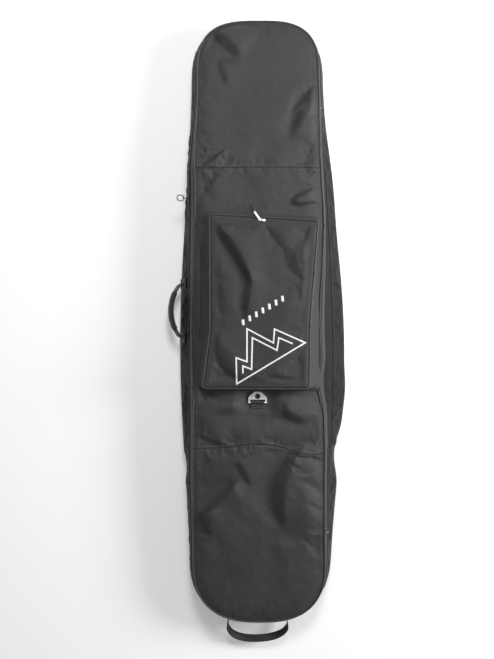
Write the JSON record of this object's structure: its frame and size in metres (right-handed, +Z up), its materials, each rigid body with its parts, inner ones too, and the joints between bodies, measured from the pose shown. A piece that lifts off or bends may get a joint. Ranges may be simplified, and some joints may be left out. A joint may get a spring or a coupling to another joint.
{
  "type": "snowboard bag",
  "caption": "Long padded snowboard bag with a zipped lid, a wedge-shaped front pocket with its own zipped flap, a side carry handle and a tail grab loop.",
  "frame": {"origin": "on the floor under the middle of the bag's back, which it lies on", "axes": "+X to the right as seen from the front, +Y towards the nose, +Z up out of the front"},
  "size_m": [0.4826, 1.6933, 0.1349],
  "materials": {
    "front_fabric": "woven polyester",
    "wall_fabric": "woven polyester",
    "binding": "satin binding",
    "zip_tape": "woven tape",
    "zip_teeth": "moulded coil",
    "nickel": "nickel plated, lightly worn",
    "foam": "closed cell foam",
    "lining": "coated lining",
    "webbing": "ribbed webbing",
    "grip": "padded woven sleeve",
    "cord": "braided cord",
    "print": "screen print"
  },
  "bodies": {
    "base": {"back_panel": "wall_fabric", "base_foam": "foam", "base_lining": "lining", "side_gusset": "wall_fabric", "gusset_foam": "foam", "gusset_lining": "lining", "back_piping": "binding", "hinge_facing_lower": "wall_fabric", "main_zip_lower_tape": "zip_tape", "main_zip_lower_teeth": "zip_teeth", "main_zip_stops": "nickel", "side_handle_anchors": "webbing", "tail_handle_anchors": "webbing"},
    "lid": {"front_panel_nose": "front_fabric", "front_panel_middle": "front_fabric", "front_panel_tail": "front_fabric", "lid_foam": "foam", "lid_lining": "lining", "lid_piping": "binding", "lid_side_band": "front_fabric", "hinge_facing_upper": "front_fabric", "main_zip_upper_tape": "zip_tape", "main_zip_upper_teeth": "zip_teeth", "pocket_gusset": "wall_fabric", "pocket_front_lower": "front_fabric", "pocket_piping": "binding", "pocket_zip_outer_tape": "zip_tape", "pocket_zip_outer_teeth": "zip_teeth", "pocket_zip_stops": "nickel", "tab_web_loop": "webbing"},
    "pocket_flap": {"pocket_flap_panel": "front_fabric", "pocket_zip_inner_tape": "zip_tape", "pocket_zip_inner_teeth": "zip_teeth"},
    "main_slider": {"main_slider_body": "nickel"},
    "main_pull": {"main_slider_pull": "nickel", "main_pull_cord": "cord"},
    "pocket_slider": {"pocket_slider_body": "nickel"},
    "pocket_pull": {"pocket_slider_pull": "nickel", "pocket_pull_cord": "cord"},
    "accessory_tab": {"accessory_tab": "nickel"},
    "side_handle": {"side_handle_webbing": "webbing", "side_handle_grip": "grip"},
    "tail_handle": {"tail_handle_webbing": "webbing"}
  },
  "joints": [
    {"name": "lid_hinge", "type": "hinge", "parent": "base", "child": "lid", "pos_m": [0.188, 0, 0.077], "axis": [0, 1, 0], "range_deg": [0, 150]},
    {"name": "pocket_flap_hinge", "type": "hinge", "parent": "lid", "child": "pocket_flap", "pos_m": [0, 0.005, 0.12649], "axis": [1, 0, 0], "range_deg": [0, 150]},
    {"name": "main_slider_slide", "type": "slide", "parent": "base", "child": "main_slider", "axis": [0, 1, 0], "range_m": [-0.65, 0.035]},
    {"name": "main_pull_hinge", "type": "hinge", "parent": "main_slider", "child": "main_pull", "pos_m": [-0.19609, 0.33, 0.07698], "axis": [0.3644, 0, 0.9312], "range_deg": [-65, 65]},
    {"name": "pocket_slider_slide", "type": "slide", "parent": "lid", "child": "pocket_slider", "axis": [0.9981, -0.0619, 0.0025], "range_m": [-0.108, 0.118]},
    {"name": "pocket_pull_hinge", "type": "hinge", "parent": "pocket_slider", "child": "pocket_pull", "pos_m": [0.00414, 0.26608, 0.12208], "axis": [0.0619, 0.9972, -0.0409], "range_deg": [0, 150]},
    {"name": "accessory_tab_hinge", "type": "hinge", "parent": "lid", "child": "accessory_tab", "pos_m": [-0.007, -0.214, 0.1041], "axis": [1, 0, 0], "range_deg": [0, 165]},
    {"name": "side_handle_hinge", "type": "hinge", "parent": "base", "child": "side_handle", "pos_m": [-0.216, 0.03, 0.048], "axis": [0, 1, 0], "range_deg": [-17, 52]},
    {"name": "tail_handle_hinge", "type": "hinge", "parent": "base", "child": "tail_handle", "pos_m": [-0.006, -0.821, 0.03], "axis": [-1, 0, 0], "range_deg": [-8, 80]}
  ]
}
